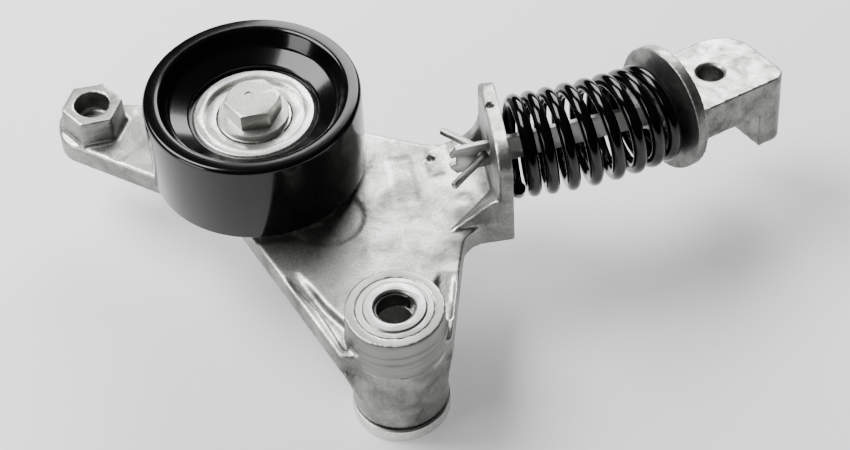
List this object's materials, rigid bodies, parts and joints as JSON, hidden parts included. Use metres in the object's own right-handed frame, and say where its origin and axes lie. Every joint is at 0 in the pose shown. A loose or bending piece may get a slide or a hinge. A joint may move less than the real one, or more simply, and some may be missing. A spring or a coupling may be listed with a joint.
{
  "type": "belt tensioner idler",
  "caption": "Cast arm on a hollow pivot shaft with a smooth idler pulley, a hexagonal wrench boss and a coil-spring strut with a bolt-down lug.",
  "frame": {"origin": "on the pivot axis, at the pivot shaft's lower face", "axes": "+Z along the pivot axis towards the pulley side, +X square to the arm's spring seat, towards the bolt-down lug"},
  "size_m": [0.2373, 0.1342, 0.0702],
  "materials": {
    "cast_aluminium": "die-cast, tumbled",
    "strut_cast": "die-cast, tumbled",
    "turned_steel": "turned",
    "spring_steel": "rolled spring strip",
    "bush_steel": "rolled steel-backed bush",
    "seal_rubber": "moulded",
    "pulley_black": "gloss black coating",
    "bearing_steel": "ground",
    "ball_steel": "lapped",
    "shield_steel": "pressed sheet",
    "cage_steel": "pressed strip",
    "bolt_zinc": "zinc plated",
    "rod_steel": "blanked strip",
    "pin_steel": "drawn wire",
    "spring_black": "gloss black coating"
  },
  "bodies": {
    "root": {"pivot_shaft": "turned_steel", "bolt_retaining_ring": "spring_steel"},
    "arm": {"arm_casting": "cast_aluminium", "upper_bushing": "bush_steel", "lower_bushing": "bush_steel", "dust_seal": "seal_rubber", "bearing_inner_ring": "bearing_steel", "pulley_spacer": "turned_steel", "pulley_bolt": "bolt_zinc", "coil_spring": "spring_black"},
    "pulley": {"pulley_shell": "pulley_black", "bearing_outer_ring": "bearing_steel", "bearing_shield_front": "shield_steel", "bearing_shield_rear": "shield_steel"},
    "cage": {"bearing_balls": "ball_steel", "cage_front": "cage_steel", "cage_rear": "cage_steel", "cage_rivets": "cage_steel"},
    "strut": {"spring_rod": "rod_steel", "strut_end": "strut_cast", "retaining_pin": "pin_steel"}
  },
  "joints": [
    {"name": "arm_swing", "type": "hinge", "parent": "root", "child": "arm", "pos_m": [0, 0, 0], "axis": [0, 0, 1], "range_deg": [-15, 15]},
    {"name": "pulley_spin", "type": "hinge", "parent": "arm", "child": "pulley", "pos_m": [-0.0336, 0.0776, 0.0552], "axis": [0, 0, 1], "continuous": true},
    {"name": "cage_spin", "type": "hinge", "parent": "arm", "child": "cage", "pos_m": [-0.0336, 0.0776, 0.0552], "axis": [0, 0, 1], "continuous": true},
    {"name": "strut_slide", "type": "slide", "parent": "arm", "child": "strut", "axis": [-0.9845, -0.1718, 0.0349], "range_m": [0, 0.008], "stiffness_N_per_m": 24000, "springref_m": -0.006, "deforming": ["coil_spring"]}
  ],
  "couplings": [
    {"joint": "cage_spin", "follows": "pulley_spin", "ratio": 0.6162}
  ]
}
